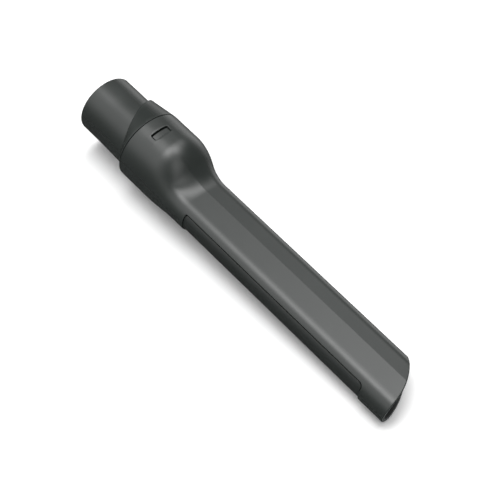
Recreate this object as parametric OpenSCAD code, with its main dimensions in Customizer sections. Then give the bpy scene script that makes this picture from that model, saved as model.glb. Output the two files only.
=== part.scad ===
// Crevice nozzle of a handheld vacuum: a flattened blade with a slanted mouth, a round
// bulge behind it, a plug-in neck that snaps into the bulge, and a cover let into the
// blade's spine. The neck's axis is +X, from the neck's open end to the mouth. The
// spine faces -Y, and the blade's flat flanks face +Z and -Z.

/* [Neck] */
// Outside diameter of the plug-in neck
neck_od = 35; // [32:0.5:36]
// Straight, full-round length of the neck that plugs in
spigot_len = 20; // [14:1:24]
// Wall of the neck
neck_wall = 2.2; // [1.6:0.1:2.6]
// Slant of the collar's rear edge, away from square, in degrees
collar_slant = 24.5; // [12:0.5:28]
// Height of the collar's lip above the neck
lip_h = 1.6; // [1:0.1:2]

/* [Bulge] */
// Outside diameter of the bulge
bulge_od = 42.5; // [41:0.5:48]
// Straight length of the bulge, from the seam to where it starts to flatten
bulge_len = 19.5; // [18:0.5:30]
// Length over which the bulge flattens into the blade
blend_len = 30; // [22:1:45]
// Wall of the nozzle's body
wall = 2.2; // [1.8:0.1:2.5]

/* [Snap windows] */
// Width of each window, along the axis
window_w = 4.3; // [3:0.1:5]
// Length of each window, round the bulge
window_l = 11.6; // [8:0.2:14]

/* [Blade] */
// Distance between the two flat flanks
blade_w = 18.7; // [17:0.1:22]
// Distance from the neck's axis to the blade's lower edge
lower_reach = 12.95; // [11.5:0.05:16]
// Radius of the rounded lower edge
lower_r = 7.9; // [7:0.1:8.4]
// Angle by which each lower flank leans in, in degrees
lean = 11.8; // [8:0.2:16]

/* [Length and mouth] */
// Length from the neck's open end to the tip
total_len = 244; // [200:1:320]
// Radius of the curved cut that slants the mouth
mouth_cut_r = 42.4; // [40:0.2:70]

/* [Spine cover] */
// Angle that the cover spans round the spine, in degrees
cover_arc = 95; // [60:1:104]
// How far the cover lies below the spine
cover_inset = 0.8; // [0.4:0.1:1]
// Thickness of the cover
cover_t = 1.4; // [1:0.1:1.6]
// Distance from the tip to the cover's front end
cover_front = 18; // [16:1:40]
// Visible gap round the cover
cover_gap = 0.2; // [0.1:0.05:0.35]

/* [Hidden] */
$fn = 96;
plastic = [0.27, 0.275, 0.275];

// neck and collar
neck_r = neck_od / 2;
bore_r = neck_r - neck_wall;
root_r = neck_r + 0.6;
lip_r = neck_r + lip_h;
lead_in = 0.5;
bulge_r = bulge_od / 2;
collar_mid = spigot_len + lip_r * tan(collar_slant);
seam_x = collar_mid + neck_r * tan(collar_slant) + 2.3;
seam_gap = 0.3;

// sleeve and snap catches of the connector, inside the bulge
cavity_r = bulge_r - wall;
sleeve_r = cavity_r - 0.15;
sleeve_bore_r = max(bore_r, sleeve_r - 2.2);
sleeve_end = seam_x + bulge_len - 2.3;
window_x = seam_x + 10.1;
catch_h = 0.7;
catch_gap = 0.5;
catch_side = 0.4;
slit_w = 1.2;
slit_y = window_l / 2 + 1.3;

// blade: a section point [u, v] lies at y = -u, z = v
half_w = blade_w / 2;
spine_c = bulge_r - 0.08 - half_w;
spine_thick = 1.7;
lower_c = lower_reach - lower_r;
crease_u = min(spine_c - 2, (half_w * cos(lean) - lower_r) / sin(lean) - lower_c);
blend_x = seam_x + bulge_len;
blade_x = blend_x + blend_len;
shoulder = 1;

// mouth
mouth_axis_x = total_len - mouth_cut_r;
mouth_wall = wall - 0.2;

// spine cover and its recess
cover_x0 = blade_x + 3;
cover_x1 = total_len - cover_front;
cover_r = half_w - cover_inset;
recess_r = cover_r - cover_t;
cover_half = half_w * sin(cover_arc / 2);
corner_rear = 1;
corner_front = 2.8;

// Half of the blade's outline inset by w, from the spine round to the lower edge, with
// the spine's arc moved in by thick.
function half_outline(w, thick) = let (
    r = half_w - w,
    c = spine_c - thick,
    q = lower_r - w,
    ku = crease_u + w * tan(lean / 2),
    tu = -lower_c - q * sin(lean),
    tv = q * cos(lean)
) concat(
    [for (a = [0 : 6 : 90]) [c + r * cos(a), r * sin(a)]],
    [for (i = [1 : 8]) [c + (ku - c) * i / 8, r]],
    [for (i = [1 : 8]) [ku + (tu - ku) * i / 8, r + (tv - r) * i / 8]],
    [for (i = [1 : 12]) let (a = lean + (90 - lean) * i / 12) [-lower_c - q * sin(a), q * cos(a)]]
);

function outline(w, thick) = let (h = half_outline(w, thick))
    concat(h, [for (i = [len(h) - 2 : -1 : 1]) [h[i][0], -h[i][1]]]);

// Share of the blade in the section at x, for a point that faces along d: the spine
// side settles first and the lower edge last.
function ease(t) = (1 - cos(180 * min(1, max(0, t)))) / 2;
function share(x, d) = ease((x - blend_x) / blend_len / (0.96 - 0.04 * d[0]));

// Ring at x between a circle of radius r and the points of a blade section.
function ring(x, r, pts) = [for (p = pts) let (
    d = p / norm(p),
    s = share(x, d),
    q = r * d * (1 - s) + s * p
) [x, -q[0], q[1]]];

// Closed skin through rings with the same number of points, each end closed by a fan
// from the neck's axis.
module skin(rings) {
    n = len(rings[0]);
    m = len(rings);
    hubs = [[rings[0][0][0], 0, 0], [rings[m - 1][0][0], 0, 0]];
    last = (m - 1) * n;
    polyhedron(
        points = concat([for (r = rings, p = r) p], hubs),
        faces = [for (i = [0 : n - 1]) let (j = (i + 1) % n) each concat(
            [[m * n, j, i], [m * n + 1, last + i, last + j]],
            [for (k = [0 : n : last - n]) each [
                [k + i, k + j, k + n + j],
                [k + i, k + n + j, k + n + i]
            ]]
        )]
    );
}

// Straight and tapered rods on the neck's axis.
module taper(x0, x1, r0, r1) {
    translate([x0, 0, 0]) rotate([0, 90, 0]) cylinder(h = x1 - x0, r1 = r0, r2 = r1);
}

module rod(x0, x1, r) {
    translate([x0, 0, 0]) rotate([0, 90, 0]) cylinder(h = x1 - x0, r = r);
}

// Extrudes a section drawn in the Y-Z plane from x0 to x1.
module along_x(x0, x1) {
    translate([x0, 0, 0]) rotate([90, 0, 90]) linear_extrude(x1 - x0) children();
}

module rounded_plan(l, w, r) {
    square([l - 2 * r, w], center = true);
    square([l, w - 2 * r], center = true);
    for (sx = [-1, 1], sy = [-1, 1]) {
        translate([sx * (l / 2 - r), sy * (w / 2 - r)]) circle(r);
    }
}

// Part of a ring round the spine's arc, from radius r0 to r1, over the given angle.
module spine_ring(r0, r1, arc) {
    reach = 2 * r1;
    translate([-spine_c, 0]) intersection() {
        difference() {
            circle(r1);
            circle(r0);
        }
        polygon([[0, 0], for (a = [-1, -0.5, 0, 0.5, 1]) -reach * [cos(a * arc / 2), sin(a * arc / 2)]]);
    }
}

// Outline of the cover seen from the spine side, grown by g: small corners at the rear
// and larger ones towards the mouth.
module cover_plan(g) {
    x0 = cover_x0 - g;
    x1 = cover_x1 + g;
    h = cover_half + g;
    translate([x0 + corner_rear, -h]) square([x1 - x0 - corner_rear - corner_front, 2 * h]);
    for (end = [[x0 + corner_rear, corner_rear], [x1 - corner_front, corner_front]]) {
        translate([end[0] - end[1], end[1] - h]) square([2 * end[1], 2 * (h - end[1])]);
        for (s = [-1, 1]) {
            translate([end[0], s * (h - end[1])]) circle(end[1]);
        }
    }
}

// The cover's shape between radii r0 and r1, grown by g all round.
module cover_shape(r0, r1, g) {
    spread = 2 * asin(min(1, g / half_w));
    intersection() {
        along_x(cover_x0 - 5, cover_x1 + 5) spine_ring(r0, r1, cover_arc + 2 * spread);
        rotate([90, 0, 0]) linear_extrude(2 * bulge_r) cover_plan(g);
    }
}

module mouth_cut() {
    difference() {
        translate([mouth_axis_x, -2 * bulge_r, -bulge_r]) cube([total_len, 4 * bulge_r, 2 * bulge_r]);
        translate([mouth_axis_x, -spine_c - half_w, -2 * bulge_r]) cylinder(h = 4 * bulge_r, r = mouth_cut_r);
    }
}

module nozzle_body() {
    outer = outline(0, 0);
    inner = outline(wall, spine_thick);
    steps = 15;
    blend = [for (i = [0 : steps]) blend_x + blend_len * i / steps];
    color(plastic) difference() {
        skin([for (x = concat([seam_x + seam_gap], blend, [total_len + 5])) ring(x, bulge_r, outer)]);
        skin([for (x = concat([sleeve_end - 1], blend, [total_len + 6]))
            ring(x, cavity_r - shoulder, inner)]);
        rod(seam_x, sleeve_end + 0.3, cavity_r);
        along_x(cover_x1 + 2.5, total_len + 1) polygon([for (p = outline(mouth_wall, 0)) [-p[0], p[1]]]);
        mouth_cut();
        translate([window_x, 0, -2 * bulge_r])
            linear_extrude(4 * bulge_r) rounded_plan(window_w, window_l, 0.9);
        cover_shape(recess_r - 0.05, half_w + 1, cover_gap);
    }
}

// Wedge between the neck and the seam: a slanted lip on the neck that grows into the
// bulge's full circle.
module collar() {
    hull($fn = 72) {
        for (step = [[0, lip_r], [-0.45, lip_r - 0.5]]) {
            intersection() {
                rod(0, seam_x, step[1]);
                translate([collar_mid + step[0], 0, 0]) rotate([0, 0, collar_slant])
                    cube([0.1, 3 * bulge_r, 3 * bulge_r], center = true);
            }
        }
        rod(seam_x - 0.3, seam_x, bulge_r - 0.25);
        rod(seam_x - 0.6, seam_x - 0.5, bulge_r);
    }
}

module connector() {
    color(plastic) difference() {
        union() {
            taper(0, lead_in, neck_r - lead_in, neck_r);
            rod(lead_in, spigot_len, neck_r);
            taper(spigot_len, seam_x - 1, neck_r, root_r);
            collar();
            rod(seam_x - 1, sleeve_end, sleeve_r);
            intersection() {
                taper(
                    window_x - window_w / 2 + catch_gap,
                    window_x + window_w / 2 - 0.1,
                    sleeve_r + catch_h,
                    sleeve_r + 0.1
                );
                translate([window_x, 0, 0])
                    cube([2 * window_w, window_l - 2 * catch_side, 3 * bulge_r], center = true);
            }
        }
        rod(-1, seam_x - 4, bore_r);
        taper(seam_x - 4, seam_x, bore_r, sleeve_bore_r);
        rod(seam_x, sleeve_end + 1, sleeve_bore_r);
        for (s = [-1, 1]) {
            translate([seam_x + 4, s * slit_y - slit_w / 2, -2 * bulge_r])
                cube([bulge_len, slit_w, 4 * bulge_r]);
        }
    }
}

module spine_cover() {
    color(plastic) cover_shape(recess_r, cover_r, 0);
}

nozzle_body();
connector();
spine_cover();
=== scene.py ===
"""Looks of a crevice nozzle: satin moulded plastic, lying on its side on a pale floor."""

import math

import bmesh
import bpy
from mathutils import Matrix, Vector


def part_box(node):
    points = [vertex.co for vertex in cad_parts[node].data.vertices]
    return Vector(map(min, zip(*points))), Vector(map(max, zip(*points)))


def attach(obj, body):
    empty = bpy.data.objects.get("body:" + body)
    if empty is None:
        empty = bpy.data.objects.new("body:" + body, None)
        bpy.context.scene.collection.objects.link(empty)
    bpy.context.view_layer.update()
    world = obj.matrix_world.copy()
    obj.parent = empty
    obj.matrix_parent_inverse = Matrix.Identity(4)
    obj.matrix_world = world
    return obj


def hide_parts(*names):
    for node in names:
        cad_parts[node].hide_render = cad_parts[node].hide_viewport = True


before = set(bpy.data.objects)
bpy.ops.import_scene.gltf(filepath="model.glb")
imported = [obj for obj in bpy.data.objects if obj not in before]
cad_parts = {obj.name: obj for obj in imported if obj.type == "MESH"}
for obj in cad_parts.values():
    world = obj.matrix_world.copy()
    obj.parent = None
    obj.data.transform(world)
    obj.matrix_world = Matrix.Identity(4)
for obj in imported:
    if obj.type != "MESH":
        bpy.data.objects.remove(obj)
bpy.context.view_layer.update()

MM = 0.001


def box_mm(node):
    return [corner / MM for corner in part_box(node)]


# ---------------------------------------------------------------- sizes, in millimetres

# From the frame.
body_low, body_high = box_mm("nozzle_body")
cover_low, cover_high = box_mm("spine_cover")
REAR_X = body_low.x
TIP_X = body_high.x
BULGE_R = body_high.z
SLEEVE_END = box_mm("connector")[1].x
COVER_X0 = cover_low.x
COVER_X1 = cover_high.x

# Neck and collar, as in the part's source. The bore widens to the sleeve's over BORE_FLARE.
NECK_R = 17.5
NECK_WALL = 2.2
NECK_CONE = 0.6
SPIGOT_LEN = 20
LEAD_IN = 0.5
LIP_H = 1.6
COLLAR_SLANT = math.radians(24.5)
COLLAR_FRONT = 0.6
BORE_FLARE = 4

# Bulge, blade and mouth, as in the part's source.
SEAM_GAP = 0.3
BULGE_LEN = 19.5
BLEND_LEN = 30
WALL = 2.2
MOUTH_WALL = 2
SPINE_THICK = 1.7
SPINE_DROP = 0.08
SHOULDER = 1
HALF_W = 9.35
LOWER_R = 7.9
LOWER_REACH = 12.95
LEAN = math.radians(11.8)
MOUTH_CUT_R = 42.4
MOUTH_START = 2.5

# Windows, catches and the slit sleeve, as in the part's source.
WINDOW_W = 4.3
WINDOW_L = 11.6
WINDOW_PLACE = 10.1
WINDOW_CORNER = 0.9
CATCH_FRONT = 0.1
SLEEVE_PLAY = 0.15
SLEEVE_WALL = 2.2
SHOULDER_GAP = 0.3
SLIT_W = 1.2
SLIT_PLACE = 4

# Strip and its recess, as in the part's source.
COVER_ARC = math.radians(95)
COVER_INSET = 0.8
COVER_T = 1.4
COVER_GAP = 0.2
COVER_CORNERS = (1, 2.8)
COVER_SEAT = 0.05

# The scene's own: rounded edges, bevels as (back, drop), and how the strip lies in its recess.
EDGE = 0.25
MOUTH_EDGE_OUT = 0.6
MOUTH_EDGE_IN = 0.3
BORE_EDGE = 0.3
LIP_BEVEL = (0.45, 0.4)
SEAM_BEVEL = (0.05, 0.4)
SLEEVE_BEVEL = 0.4
LINING_GROW = 0.4
COVER_EDGE = 0.12
SHADOW_LINE = 0.35
REAR_LINE = 0.05

# The scene's own: how the blend is shifted and the mouth's cut tilted across the blade.
BLEND_SHIFT = 1.7
MOUTH_TILT = 0.07
TILT_PIVOT = 0.6 * HALF_W

# The scene's own: how the snap catches stand in their windows.
CATCH_SINK = 0.9
CATCH_GAP = 0.7
CATCH_SIDE = 0.5
CATCH_ROOT = 0.3
CATCH_EDGE = 0.15
CATCH_CORNER = 0.5

# Worked out from the others.
SEAM_X = REAR_X - SEAM_GAP
BLEND_X = SEAM_X + BULGE_LEN
BLADE_X = BLEND_X + BLEND_LEN
WINDOW_X = SEAM_X + WINDOW_PLACE
SPINE_C = BULGE_R - SPINE_DROP - HALF_W
LOWER_C = LOWER_REACH - LOWER_R
CREASE_U = (HALF_W * math.cos(LEAN) - LOWER_R) / math.sin(LEAN) - LOWER_C
MOUTH_AXIS_X = TIP_X - MOUTH_CUT_R
BORE_R = NECK_R - NECK_WALL
LIP_R = NECK_R + LIP_H
COLLAR_MID = SPIGOT_LEN + LIP_R * math.tan(COLLAR_SLANT)
CAVITY_R = BULGE_R - WALL
SLEEVE_R = CAVITY_R - SLEEVE_PLAY
SLEEVE_BORE_R = SLEEVE_R - SLEEVE_WALL
SLIT_Y = WINDOW_L / 2 + 1.3
SHOULDER_X = SLEEVE_END + SHOULDER_GAP
COVER_HALF = HALF_W * COVER_ARC / 2
RECESS_DEPTH = COVER_INSET + COVER_T + COVER_SEAT
MOUTH_X = COVER_X1 + MOUTH_START


# ---------------------------------------------------------------- sections

ARC_STEPS = 24
SLOPE_STEPS = 12
LOWER_STEPS = 20


def eased_line(start, end, steps):
    """Points after start up to end, closer together at both ends, which keeps creases crisp."""
    shares = [(1 - math.cos(math.pi * (i + 1) / steps)) / 2 for i in range(steps)]
    return [tuple(a + (b - a) * share for a, b in zip(start, end)) for share in shares]


def outline(inset=0.0, spine_thick=0.0):
    """The blade's section, inset, from the spine's middle round both flanks, as (u, v): y = -u, z = v."""
    radius, centre, lower = HALF_W - inset, SPINE_C - spine_thick, LOWER_R - inset
    crease = (CREASE_U + inset * math.tan(LEAN / 2), radius)
    foot = (-LOWER_C - lower * math.sin(LEAN), lower * math.cos(LEAN))
    arc = [math.pi / 2 * i / ARC_STEPS for i in range(ARC_STEPS + 1)]
    half = [(centre + radius * math.cos(a), radius * math.sin(a)) for a in arc]
    half += eased_line(half[-1], crease, SLOPE_STEPS)
    half += eased_line(crease, foot, SLOPE_STEPS)
    for i in range(LOWER_STEPS):
        a = LEAN + (math.pi / 2 - LEAN) * (i + 1) / LOWER_STEPS
        half.append((-LOWER_C - lower * math.sin(a), lower * math.cos(a)))
    return half + [(u, -v) for u, v in half[-2:0:-1]]


def blade_share(x, facing):
    """Share of the blade in the section at x: the lower side leaves the bulge first."""
    start = BLEND_X + BLEND_SHIFT * facing
    t = min(1, max(0, (x - start) / (BLADE_X - start)))
    return 2 * t * t if t < 0.5 else 1 - 2 * (1 - t) ** 2


def section(x, radius, points):
    """The ring at x between a circle and the blade's section."""
    ring = []
    for u, v in points:
        reach = math.hypot(u, v)
        share = blade_share(x, u / reach)
        scale = (1 - share) * radius / reach + share
        ring.append((x, -u * scale, v * scale))
    return ring


def cut_x(y, z):
    """Where the mouth's curved cut lies at y, with a slight tilt across the blade."""
    tilt = MOUTH_TILT * (z - TILT_PIVOT)
    return MOUTH_AXIS_X + tilt + math.sqrt(MOUTH_CUT_R**2 - (y + SPINE_C + HALF_W) ** 2)


def mouth_section(inset, back):
    """The ring just inside the mouth's cut, inset and set back from it."""
    return [(cut_x(-u, v) - back, -u, v) for u, v in outline(inset)]


# ---------------------------------------------------------------- mesh building

# Places in a piece's list of finishes.
OUTSIDE, INSIDE, RIM = range(3)

# Angles along a rounded edge, and the segments in half of a rounded corner.
QUARTER = [math.pi / 2 * i / 4 for i in range(5)]
CORNER_STEPS = 4


def spread(start, end, steps):
    """Even places from start to end."""
    return [start + (end - start) * i / steps for i in range(steps + 1)]


def add_ring(mesh, points):
    return [mesh.verts.new(Vector(p) * MM) for p in points]


def bridge(mesh, first, second, skip=(), finish=OUTSIDE):
    """Quads between two closed rings, but for the columns in skip, in one of the piece's finishes."""
    count = len(first)
    for j in range(count):
        if j not in skip:
            k = (j + 1) % count
            face = mesh.faces.new((first[j], first[k], second[k], second[j]))
            face.material_index = finish


def columns(first, last, count):
    """Columns from first up to last, counted round a ring."""
    return {j % count for j in range(first, last)}


def window_edge(rings, rows, cols):
    """Vertices round the patch of the rings that a window leaves open, from its first corner."""
    (r0, r1), (c0, c1) = rows, cols
    step = 1 if r1 > r0 else -1
    count = len(rings[r0])
    edge = [rings[r0][j % count] for j in range(c0, c1)]
    edge += [rings[i][c1 % count] for i in range(r0, r1, step)]
    edge += [rings[r1][j % count] for j in range(c1, c0, -1)]
    edge += [rings[i][c0 % count] for i in range(r1, r0, -step)]
    return edge


def on_corner(centre, angle, along):
    """A point on a corner's arc, turned by angle from a side's outward direction towards along."""
    x, s, radius = centre
    return (
        x + radius * (math.sin(angle) * along[0] - math.cos(angle) * along[1]),
        s + radius * (math.sin(angle) * along[1] + math.cos(angle) * along[0]),
    )


def rounded_loop(box, radii, grow, counts):
    """Points round a rounded rectangle, in the order of window_edge: box is x0, x1, s0, s1, radii
    those of the x0 and x1 corners, and counts the segments along s and along x."""
    x0, x1, s0, s1 = box
    rear, front = radii
    centres = [
        (x0 + rear, s0 + rear, rear + grow),
        (x0 + rear, s1 - rear, rear + grow),
        (x1 - front, s1 - front, front + grow),
        (x1 - front, s0 + front, front + grow),
    ]
    loop = []
    for side, along in enumerate([(0, 1), (1, 0), (0, -1), (-1, 0)]):
        corner, following = centres[side], centres[(side + 1) % 4]
        for i in range(-CORNER_STEPS, 0):
            loop.append(on_corner(corner, math.pi / 4 * i / CORNER_STEPS, along))
        start, end = on_corner(corner, 0, along), on_corner(following, 0, along)
        steps = counts[side % 2] - 2 * CORNER_STEPS
        for i in range(steps + 1):
            loop.append(tuple(p + (q - p) * i / steps for p, q in zip(start, end)))
        for i in range(1, CORNER_STEPS):
            loop.append(on_corner(following, math.pi / 4 * i / CORNER_STEPS, along))
    return loop


class Patch:
    """A stretch of round surface about an axis along X: s runs round it and depth goes in."""

    def __init__(self, radius, axis_y, middle):
        self.radius, self.axis_y, self.middle = radius, axis_y, middle

    def point(self, x, s, depth):
        angle = self.middle - s / self.radius
        reach = self.radius - depth
        return (x, self.axis_y + reach * math.cos(angle), reach * math.sin(angle))

    def unroll(self, vertex):
        """The x and s of a vertex."""
        x, y, z = vertex.co / MM
        turned = self.middle - math.atan2(z, y - self.axis_y)
        return x, self.radius * ((turned + math.pi) % (2 * math.pi) - math.pi)


def frame_in(mesh, edge, patch, target, depth=0.0, steps=3):
    """Quads from an opening's edge to the rounded loop inside it. Returns the innermost ring."""
    start = [patch.unroll(vertex) for vertex in edge]
    ring = edge
    for i in range(1, steps + 1):
        flat = [[a + (b - a) * i / steps for a, b in zip(p, q)] for p, q in zip(start, target)]
        inner = add_ring(mesh, [patch.point(x, s, depth) for x, s in flat])
        bridge(mesh, ring, inner)
        ring = inner
    return ring


def sink(mesh, ring, patch, loop_at, levels):
    """Rings from ring down through levels, each a grow and a depth. Returns the lowest ring."""
    for grow, depth in levels:
        below = add_ring(mesh, [patch.point(x, s, depth) for x, s in loop_at(grow)])
        bridge(mesh, ring, below)
        ring = below
    return ring


def rounded_edge(radius):
    """Levels of a rounded edge that starts flush with the surface and turns down into a wall."""
    return [(radius * (1 - math.sin(a)), radius * (1 - math.cos(a))) for a in QUARTER[1:]]


def fill(mesh, ring, patch, loop, depth, counts):
    """A grid of quads inside a rounded loop, between its four sides."""
    along_s, along_x = counts
    corner = [0, along_s, along_s + along_x, 2 * along_s + along_x]
    total = 2 * (along_s + along_x)

    def border(i, j):
        """The loop's place for a point on the grid's border, and None within it."""
        if i == 0:
            return j
        if j == along_s:
            return corner[1] + i
        if i == along_x:
            return corner[2] + along_s - j
        if j == 0:
            return (corner[3] + along_x - i) % total
        return None

    def within(i, j):
        """A point blended from the four border points in its row and column."""
        p, q = i / along_x, j / along_s
        ends = [loop[border(a, b)] for a, b in [(0, j), (along_x, j), (i, 0), (i, along_s)]]
        corners = [loop[border(a, b)] for a in (0, along_x) for b in (0, along_s)]
        share = [(1 - p) * (1 - q), (1 - p) * q, p * (1 - q), p * q]
        flat = [
            (1 - p) * ends[0][k] + p * ends[1][k] + (1 - q) * ends[2][k] + q * ends[3][k]
            - sum(c[k] * w for c, w in zip(corners, share))
            for k in range(2)
        ]
        return patch.point(*flat, depth)

    grid = {}
    for i in range(along_x + 1):
        for j in range(along_s + 1):
            place = border(i, j)
            grid[i, j] = mesh.verts.new(Vector(within(i, j)) * MM) if place is None else ring[place]
    for i in range(along_x):
        for j in range(along_s):
            mesh.faces.new((grid[i, j], grid[i + 1, j], grid[i + 1, j + 1], grid[i, j + 1]))


def add_piece(name, mesh, materials, node):
    """Turns a closed mesh into a smooth piece that stands for a CAD node."""
    bmesh.ops.recalc_face_normals(mesh, faces=mesh.faces)
    data = bpy.data.meshes.new(name)
    mesh.to_mesh(data)
    mesh.free()
    data.shade_smooth()
    data.set_sharp_from_angle(angle=math.radians(35))
    for material in materials:
        data.materials.append(material)
    piece = bpy.data.objects.new(name, data)
    bpy.context.scene.collection.objects.link(piece)
    piece.modifiers.new("even_shading", "WEIGHTED_NORMAL").keep_sharp = True
    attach(piece, "root")
    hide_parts(node)


# ---------------------------------------------------------------- the body

# The body is a grid of rows along X and columns round it. An opening is left out of the grid with a
# margin, and SPINE_COLUMNS columns on each side of the spine's middle take the strip's recess. Rows
# beyond FLARE_X slant more and more towards the mouth's cut.
MARGIN = 1.6
SPINE_COLUMNS = 15
FLARE_X = 200
WINDOW_ROWS = spread(WINDOW_X - WINDOW_W / 2 - MARGIN, WINDOW_X + WINDOW_W / 2 + MARGIN, 12)
WINDOW_STEPS = len(WINDOW_ROWS) - 1
COVER_ROWS = spread(COVER_X0 - MARGIN, COVER_X1 + MARGIN, 36)
COVER_STEPS = len(COVER_ROWS) - 1
SPINE = Patch(HALF_W, -SPINE_C, math.pi)
WINDOWS = [Patch(BULGE_R, 0, middle) for middle in (math.pi / 2, -math.pi / 2)]


def towards_mouth(x, y, z, back):
    """Slants a row near the mouth, so that the last one lies along the cut."""
    if x <= FLARE_X:
        return x
    return FLARE_X + (x - FLARE_X) * (cut_x(y, z) - back - FLARE_X) / (TIP_X - back - FLARE_X)


def blade_row(x, points, back):
    return [(towards_mouth(x, -u, v, back), -u, v) for u, v in points]


def circle_row(x, radius, points):
    return [(x, -u * radius / math.hypot(u, v), v * radius / math.hypot(u, v)) for u, v in points]


def body_rows():
    """Rows of points from the seam along the outside to the mouth and back along the inside, and
    the rows at which the windows, the strip's recess, the rim, the inside and the lining start."""
    outer, inner, mouth = outline(), outline(WALL, SPINE_THICK), outline(MOUTH_WALL)
    rows, marks = [], {}
    for a in QUARTER:
        radius = BULGE_R - EDGE * (1 - math.sin(a))
        rows.append(circle_row(REAR_X + EDGE * (1 - math.cos(a)), radius, outer))
    rows.append(circle_row(REAR_X + 3, BULGE_R, outer))
    marks["window"] = len(rows)
    rows += [circle_row(x, BULGE_R, outer) for x in WINDOW_ROWS]
    rows.append(circle_row((WINDOW_ROWS[-1] + BLEND_X) / 2, BULGE_R, outer))
    rows += [section(x, BULGE_R, outer) for x in spread(BLEND_X - BLEND_SHIFT, BLADE_X, 51)]
    marks["cover"] = len(rows)
    to_mouth = spread(COVER_ROWS[-1], TIP_X - MOUTH_EDGE_OUT, 4)[1:]
    rows += [blade_row(x, outer, MOUTH_EDGE_OUT) for x in COVER_ROWS + to_mouth]
    for a in QUARTER[1:]:
        back = MOUTH_EDGE_OUT * (1 - math.sin(a))
        rows.append(mouth_section(MOUTH_EDGE_OUT * (1 - math.cos(a)), back))
    marks["rim"] = len(rows) - 2
    for a in QUARTER:
        back = MOUTH_EDGE_IN * (1 - math.cos(a))
        rows.append(mouth_section(MOUTH_WALL - MOUTH_EDGE_IN * (1 - math.sin(a)), back))
    marks["inside"] = len(rows) - 1
    from_mouth = spread(TIP_X - MOUTH_EDGE_IN, MOUTH_X, 2)[1:]
    rows += [blade_row(x, mouth, MOUTH_EDGE_IN) for x in from_mouth]
    rows += [blade_row(x, inner, MOUTH_EDGE_IN) for x in (MOUTH_X, FLARE_X, BLADE_X + 1)]
    rows += [section(x, CAVITY_R - SHOULDER, inner) for x in spread(BLADE_X, BLEND_X, 24)]
    rows.append(circle_row(SHOULDER_X, CAVITY_R - SHOULDER, inner))
    rows.append(circle_row(SHOULDER_X, CAVITY_R, outer))
    marks["lining"] = len(rows)
    rows += [circle_row(x, CAVITY_R, outer) for x in WINDOW_ROWS[::-1]]
    rows.append(circle_row(REAR_X, CAVITY_R, outer))
    return rows, marks


def window_columns():
    """The first and last columns of the grid that each of the two windows takes up."""
    points = outline()
    upper = len(points) // 2 + 1
    across = [math.asin(u / math.hypot(u, v)) * BULGE_R for u, v in points[:upper]]
    reach = WINDOW_L / 2 + 1
    first = max(j for j in range(upper) if across[j] > reach)
    last = min(j for j in range(upper) if across[j] < -reach)
    return [(first, last), (len(points) - last, len(points) - first)]


def open_window(mesh, rings, marks, patch, cols):
    """The snap window in the given columns: a rounded edge, a wall and the edge of the lining."""
    counts = (cols[1] - cols[0], WINDOW_STEPS)
    box = (WINDOW_X - WINDOW_W / 2, WINDOW_X + WINDOW_W / 2, -WINDOW_L / 2, WINDOW_L / 2)

    def loop_at(grow):
        return rounded_loop(box, (WINDOW_CORNER, WINDOW_CORNER), grow, counts)

    edge = window_edge(rings, (marks["window"], marks["window"] + WINDOW_STEPS), cols)
    ring = frame_in(mesh, edge, patch, loop_at(EDGE))
    ring = sink(mesh, ring, patch, loop_at, rounded_edge(EDGE))
    ring = sink(mesh, ring, patch, loop_at, [(0, WALL)])
    edge = window_edge(rings, (marks["lining"] + WINDOW_STEPS, marks["lining"]), cols)
    lining = frame_in(mesh, edge, patch, loop_at(LINING_GROW), WALL)
    bridge(mesh, lining, ring)


def sink_recess(mesh, rings, marks):
    """The recess in the spine that takes the strip."""
    counts = (2 * SPINE_COLUMNS, COVER_STEPS)
    half_s = COVER_HALF + COVER_GAP
    box = (COVER_X0 - COVER_GAP, COVER_X1 + COVER_GAP, -half_s, half_s)

    def loop_at(grow):
        return rounded_loop(box, COVER_CORNERS, grow, counts)

    cols = (-SPINE_COLUMNS, SPINE_COLUMNS)
    edge = window_edge(rings, (marks["cover"], marks["cover"] + COVER_STEPS), cols)
    ring = frame_in(mesh, edge, SPINE, loop_at(EDGE))
    ring = sink(mesh, ring, SPINE, loop_at, rounded_edge(EDGE))
    ring = sink(mesh, ring, SPINE, loop_at, [(0, RECESS_DEPTH)])
    fill(mesh, ring, SPINE, loop_at(0), RECESS_DEPTH, counts)


def build_body():
    mesh = bmesh.new()
    rows, marks = body_rows()
    rings = [add_ring(mesh, row) for row in rows]
    count = len(rows[0])
    window_cols = window_columns()
    window_cells = set().union(*[columns(c0, c1, count) for c0, c1 in window_cols])
    recess_cells = columns(-SPINE_COLUMNS, SPINE_COLUMNS, count)
    for i, ring in enumerate(rings):
        skip = ()
        if any(marks[name] <= i < marks[name] + WINDOW_STEPS for name in ("window", "lining")):
            skip = window_cells
        if marks["cover"] <= i < marks["cover"] + COVER_STEPS:
            skip = recess_cells
        finish = INSIDE if i >= marks["inside"] else RIM if i >= marks["rim"] else OUTSIDE
        bridge(mesh, ring, rings[(i + 1) % len(rings)], skip, finish)
    for patch, cols in zip(WINDOWS, window_cols):
        open_window(mesh, rings, marks, patch, cols)
    sink_recess(mesh, rings, marks)
    return mesh


# ---------------------------------------------------------------- pads and the strip


def pad(mesh, patch, loop_at, top, bottom, edge, counts):
    """A closed pad with a rounded top edge, from depth top down to depth bottom."""
    loop = loop_at(-edge)
    ring = add_ring(mesh, [patch.point(x, s, top) for x, s in loop])
    fill(mesh, ring, patch, loop, top, counts)
    for a in QUARTER[1:]:
        depth = top + edge * (1 - math.cos(a))
        below = add_ring(mesh, [patch.point(x, s, depth) for x, s in loop_at(-edge * (1 - math.sin(a)))])
        bridge(mesh, ring, below)
        ring = below
    base = add_ring(mesh, [patch.point(x, s, bottom) for x, s in loop_at(0)])
    bridge(mesh, ring, base)
    fill(mesh, base, patch, loop_at(0), bottom, counts)


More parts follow.
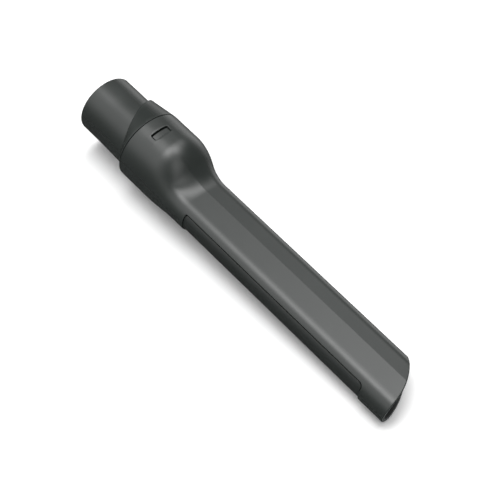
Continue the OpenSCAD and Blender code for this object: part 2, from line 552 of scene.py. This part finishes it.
def build_cover():
    mesh = bmesh.new()
    half_s = COVER_HALF - SHADOW_LINE
    box = (COVER_X0 - COVER_GAP + REAR_LINE, COVER_X1 - SHADOW_LINE, -half_s, half_s)
    counts = (2 * SPINE_COLUMNS, COVER_STEPS)
    pad(
        mesh,
        SPINE,
        lambda grow: rounded_loop(box, COVER_CORNERS, grow, counts),
        COVER_INSET,
        COVER_INSET + COVER_T,
        COVER_EDGE,
        counts,
    )
    return mesh


# ---------------------------------------------------------------- the connector

CONNECTOR_STEPS = 120
NECK_ROWS = (6, 12, 18)
NECK_END = SEAM_X - 1
SLIT_START = SEAM_X + SLIT_PLACE
SLEEVE_PROFILE = [
    (SLIT_START, SLEEVE_R),
    (SLEEVE_END - SLEEVE_BEVEL, SLEEVE_R),
    (SLEEVE_END, SLEEVE_R - SLEEVE_BEVEL),
    (SLEEVE_END, SLEEVE_BORE_R),
    (SLIT_START, SLEEVE_BORE_R),
]
BORE_PROFILE = [(SEAM_X, SLEEVE_BORE_R), (SEAM_X - BORE_FLARE, BORE_R), (10, BORE_R)]


def collar_x(radius, angle):
    """Where the collar's slanted rear face lies, at a radius and an angle from +Y towards +Z."""
    return COLLAR_MID - radius * math.cos(angle) * math.tan(COLLAR_SLANT)


def neck_radius(x):
    """The neck's radius at x: straight as far as the spigot goes, and then a slight cone."""
    return NECK_R + NECK_CONE * max(0, x - SPIGOT_LEN) / (NECK_END - SPIGOT_LEN)


def neck_profile(angle):
    """(x, radius) points from the bore's rear edge along the neck and over the collar to the seam."""
    points = [(BORE_EDGE * (1 - math.sin(a)), BORE_R + BORE_EDGE * (1 - math.cos(a))) for a in QUARTER]
    points += [(LEAD_IN * (1 - math.cos(a)), NECK_R - LEAD_IN * (1 - math.sin(a))) for a in QUARTER]
    points += [(x, NECK_R) for x in NECK_ROWS]
    back, drop = LIP_BEVEL
    foot = collar_x(NECK_R, angle) - back
    points += [(x, neck_radius(x)) for x in (foot - 0.6, foot)]
    for a in QUARTER:
        radius = LIP_R - drop * (1 - math.sin(a))
        points.append((collar_x(radius, angle) - back * (1 - math.sin(a)), radius))
    lip_x = collar_x(LIP_R, angle)
    rise_x, rise_r = SEAM_X - COLLAR_FRONT - lip_x, BULGE_R - LIP_R
    points += [(lip_x + rise_x * t, LIP_R + rise_r * t) for t in (0.25, 0.5, 0.75)]
    back, drop = SEAM_BEVEL
    for a in QUARTER:
        points.append((SEAM_X - back - EDGE * (1 - math.sin(a)), BULGE_R - EDGE * (1 - math.cos(a))))
    return points + [(SEAM_X, BULGE_R - drop), (SEAM_X, SLEEVE_R)]


def connector_angles():
    """Angles round the connector, and the pairs of columns between which the sleeve is slit."""
    angles = [2 * math.pi * i / CONNECTOR_STEPS for i in range(CONNECTOR_STEPS)]
    slits = []
    for y in [side * (SLIT_Y + half_w) for side in (-1, 1) for half_w in (-SLIT_W / 2, SLIT_W / 2)]:
        slits += [math.acos(y / SLEEVE_R), 2 * math.pi - math.acos(y / SLEEVE_R)]
    slit_columns = []
    for angle in sorted(slits):
        nearest = min(range(CONNECTOR_STEPS), key=lambda i: abs(angles[i] - angle))
        angles[nearest] = angle
        slit_columns.append(nearest)
    return angles, list(zip(slit_columns[::2], slit_columns[1::2]))


def add_catch(mesh, patch):
    """A snap catch that stands in its window, a little below the bulge's surface."""
    x0, x1 = WINDOW_X - WINDOW_W / 2 + CATCH_GAP, WINDOW_X + WINDOW_W / 2 - CATCH_FRONT
    half_s = WINDOW_L / 2 - CATCH_SIDE
    counts = (16, 12)
    pad(
        mesh,
        patch,
        lambda grow: rounded_loop((x0, x1, -half_s, half_s), (CATCH_CORNER, CATCH_CORNER), grow, counts),
        CATCH_SINK,
        BULGE_R - SLEEVE_R + CATCH_ROOT,
        CATCH_EDGE,
        counts,
    )


def build_connector():
    mesh = bmesh.new()
    angles, slits = connector_angles()
    profiles = [neck_profile(angle) + SLEEVE_PROFILE + BORE_PROFILE for angle in angles]
    rings = []
    for row in zip(*profiles):
        points = [(x, r * math.cos(a), r * math.sin(a)) for (x, r), a in zip(row, angles)]
        rings.append(add_ring(mesh, points))
    last = len(rings) - len(BORE_PROFILE) - 1
    first = last + 1 - len(SLEEVE_PROFILE)
    slit_cells = set().union(*[range(a, b) for a, b in slits])
    for i, ring in enumerate(rings):
        skip = slit_cells if first <= i < last else ()
        finish = INSIDE if i > last else OUTSIDE
        bridge(mesh, ring, rings[(i + 1) % len(rings)], skip, finish)
    for a, b in slits:
        for j in (a, b):
            mesh.faces.new([rings[i][j] for i in range(first, last + 1)])
        for j in range(a, b):
            mesh.faces.new((rings[first][j], rings[first][j + 1], rings[last][j + 1], rings[last][j]))
    for patch in WINDOWS:
        add_catch(mesh, patch)
    return mesh


# ---------------------------------------------------------------- node trees


def feed(tree, value, socket):
    """Links value to the input if it comes from a node, and otherwise sets it there."""
    if isinstance(value, bpy.types.NodeSocket):
        tree.links.new(value, socket)
    else:
        socket.default_value = value


def math_node(tree, operation, *values):
    node = tree.nodes.new("ShaderNodeMath")
    node.operation = operation
    for socket, value in zip(node.inputs, values):
        feed(tree, value, socket)
    return node.outputs[0]


# ---------------------------------------------------------------- materials


def scaled(colour, factor):
    """The colour times factor, with the fourth value that a colour socket takes."""
    return (*[factor * channel for channel in colour], 1)


def moulded_plastic(name, colour, roughness, grain, seed):
    """Satin moulded plastic: a slight drift in colour and gloss, a fine spark-eroded grain, and
    edges a little paler, partly rubbed by use and partly a painted highlight. The seed keeps the pieces'
    patterns apart."""
    material = bpy.data.materials.new(name)
    material.use_nodes = True
    tree = material.node_tree
    place = tree.nodes.new("ShaderNodeTexCoord")

    def noise(scale, detail):
        """Noise with a pattern about 1 / scale metres wide."""
        node = tree.nodes.new("ShaderNodeTexNoise")
        node.noise_dimensions = "4D"
        node.inputs["W"].default_value = seed
        node.inputs["Scale"].default_value = scale
        node.inputs["Detail"].default_value = detail
        tree.links.new(place.outputs["Object"], node.inputs["Vector"])
        return node.outputs["Fac"]

    def between(value, start, end, low, high):
        """Maps the stretch from start to end onto low to high, and holds it beyond both."""
        node = tree.nodes.new("ShaderNodeMapRange")
        node.inputs["From Min"].default_value = start
        node.inputs["From Max"].default_value = end
        node.inputs["To Min"].default_value = low
        node.inputs["To Max"].default_value = high
        tree.links.new(value, node.inputs["Value"])
        return node.outputs["Result"]

    def mix(share, first, second):
        node = tree.nodes.new("ShaderNodeMix")
        node.data_type = "RGBA"
        for socket, value in (("Factor", share), ("A", first), ("B", second)):
            feed(tree, value, node.inputs[socket])
        return node.outputs["Result"]

    # Convex edges are painted paler: partly wear, partly a painted highlight along the edges.
    pointiness = tree.nodes.new("ShaderNodeNewGeometry").outputs["Pointiness"]
    edges = between(pointiness, 0.518, 0.53, 0, 1)
    wear_and_highlight = math_node(tree, "MULTIPLY", edges, between(noise(260, 4), 0.4, 0.65, 0.3, 1))
    drift = between(noise(45, 3), 0.3, 0.7, 0, 1)
    plain = mix(drift, scaled(colour, 0.95), scaled(colour, 1.05))
    rubbed_and_highlit = mix(drift, scaled(colour, 1.3), scaled(colour, 1.5))
    bump = tree.nodes.new("ShaderNodeBump")
    bump.inputs["Strength"].default_value = grain
    bump.inputs["Distance"].default_value = 0.02 * MM
    tree.links.new(noise(2600, 2), bump.inputs["Height"])
    gloss = between(noise(160, 4), 0.3, 0.7, roughness - 0.02, roughness + 0.02)
    shader = tree.nodes["Principled BSDF"]
    shader.inputs["Specular IOR Level"].default_value = 0.4
    tree.links.new(mix(wear_and_highlight, plain, rubbed_and_highlit), shader.inputs["Base Color"])
    tree.links.new(gloss, shader.inputs["Roughness"])
    tree.links.new(bump.outputs["Normal"], shader.inputs["Normal"])
    return material


# ---------------------------------------------------------------- camera, floor and light


def add_camera():
    """The camera that the photograph was taken with: focal length, place and turn."""
    data = bpy.data.cameras.new("camera")
    data.sensor_width = 36
    data.lens = 107.93
    data.clip_start, data.clip_end = 0.05, 100
    camera = bpy.data.objects.new("camera", data)
    right = Vector((0.66125, 0.749, 0.04195))
    back = Vector((0.4055, -0.40392, 0.82001)).normalized()
    up = back.cross(right).normalized()
    right = up.cross(back)
    turn = Matrix((right, up, back)).transposed().to_4x4()
    camera.matrix_world = Matrix.Translation(Vector((445.419, -321.457, 644.735)) * MM) @ turn
    bpy.context.scene.collection.objects.link(camera)
    bpy.context.scene.camera = camera


# The nozzle lies on its side, so the floor touches the bulge and the end of the blade.
LEAN_DOWN = math.atan((BULGE_R - HALF_W) / (TIP_X - BLEND_X))
UP = Vector((-math.sin(LEAN_DOWN), 0, math.cos(LEAN_DOWN)))
FLOOR_LEVEL = -(BULGE_R * math.cos(LEAN_DOWN) + BLEND_X * math.sin(LEAN_DOWN)) * MM
EAST = Vector((UP.z, 0, -UP.x))
NORTH = UP.cross(EAST)
FLOOR_REACH = 30


def add_floor():
    """A plain pale floor under the nozzle."""
    mesh = bpy.data.meshes.new("floor")
    centre = UP * FLOOR_LEVEL
    signs = [(-1, -1), (1, -1), (1, 1), (-1, 1)]
    corners = [centre + FLOOR_REACH * (a * EAST + b * NORTH) for a, b in signs]
    mesh.from_pydata(corners, [], [(0, 1, 2, 3)])
    floor = bpy.data.objects.new("floor", mesh)
    bpy.context.scene.collection.objects.link(floor)
    paint = bpy.data.materials.new("floor_paint")
    paint.use_nodes = True
    shader = paint.node_tree.nodes["Principled BSDF"]
    shader.inputs["Base Color"].default_value = (0.92, 0.92, 0.92, 1)
    shader.inputs["Roughness"].default_value = 0.9
    shader.inputs["Specular IOR Level"].default_value = 0.1
    mesh.materials.append(paint)
    # The glossy plastic mirrors the lights only, as a nozzle cut out of its surroundings does.
    floor.visible_glossy = False


# Soft lights round the nozzle: an (east, north, up) direction, how tight each is, and its strength.
SOFT_LIGHTS = {
    "overhead": ((-0.21, -0.07, 0.97), 32, 8.2),
    "high_north": ((-0.07, 0.33, 0.94), 26, 7.2),
    "north": ((-0.23, 0.69, 0.69), 46, 2.4),
    "broad_southwest": ((-0.41, -0.56, 0.72), 7, 2.1),
    "east": ((0.53, -0.07, 0.85), 25, 2.3),
    "low_north": ((-0.37, 0.93, -0.05), 17, 1.5),
}
FILL = 0.06


def add_studio_light():
    """Soft white light that fades out round each light's direction, an even fill and a white backdrop."""
    world = bpy.data.worlds.new("studio")
    world.use_nodes = True
    tree = world.node_tree
    background = tree.nodes["Background"]
    place = tree.nodes.new("ShaderNodeTexCoord")
    total = FILL
    for name, ((east, north, up), tightness, strength) in SOFT_LIGHTS.items():
        facing = tree.nodes.new("ShaderNodeVectorMath")
        facing.label = name
        facing.operation = "DOT_PRODUCT"
        facing.inputs[1].default_value = (east * EAST + north * NORTH + up * UP).normalized()
        tree.links.new(place.outputs["Generated"], facing.inputs[0])
        front = math_node(tree, "MAXIMUM", facing.outputs["Value"], 0)
        fade = math_node(tree, "POWER", front, tightness)
        total = math_node(tree, "MULTIPLY_ADD", fade, strength, total)
    seen = tree.nodes.new("ShaderNodeLightPath").outputs["Is Camera Ray"]
    tree.links.new(math_node(tree, "MAXIMUM", total, seen), background.inputs["Strength"])
    background.inputs["Color"].default_value = (1, 1, 1, 1)
    bpy.context.scene.world = world


# ---------------------------------------------------------------- the scene

bpy.context.scene.view_settings.view_transform = "Standard"
SATIN_BLACK = (0.0225, 0.026, 0.0243)
body_plastic = moulded_plastic("body_satin", SATIN_BLACK, roughness=0.25, grain=0.2, seed=1)
neck_plastic = moulded_plastic("neck_satin", SATIN_BLACK, roughness=0.25, grain=0.2, seed=2)
cover_plastic = moulded_plastic("cover_satin", (0.019, 0.022, 0.0205), roughness=0.32, grain=0.25, seed=3)
# The inside is matt and darker than the body: the darker colour is painted shade in the hollow.
inside_shaded_plastic = moulded_plastic("inside_matt_painted_shade", (0.018, 0.0205, 0.0193), roughness=0.55, grain=0.4, seed=4)
# The mouth's rim is painted much paler than the body: a painted highlight along the rim.
rim_highlight_plastic = moulded_plastic("rim_painted_highlight", (0.085, 0.094, 0.09), roughness=0.3, grain=0.2, seed=5)
body_finishes = [body_plastic, inside_shaded_plastic, rim_highlight_plastic]
add_piece("body_shell", build_body(), body_finishes, "nozzle_body")
add_piece("connector_shell", build_connector(), [neck_plastic, inside_shaded_plastic], "connector")
add_piece("cover_strip", build_cover(), [cover_plastic], "spine_cover")

add_camera()
add_floor()
add_studio_light()
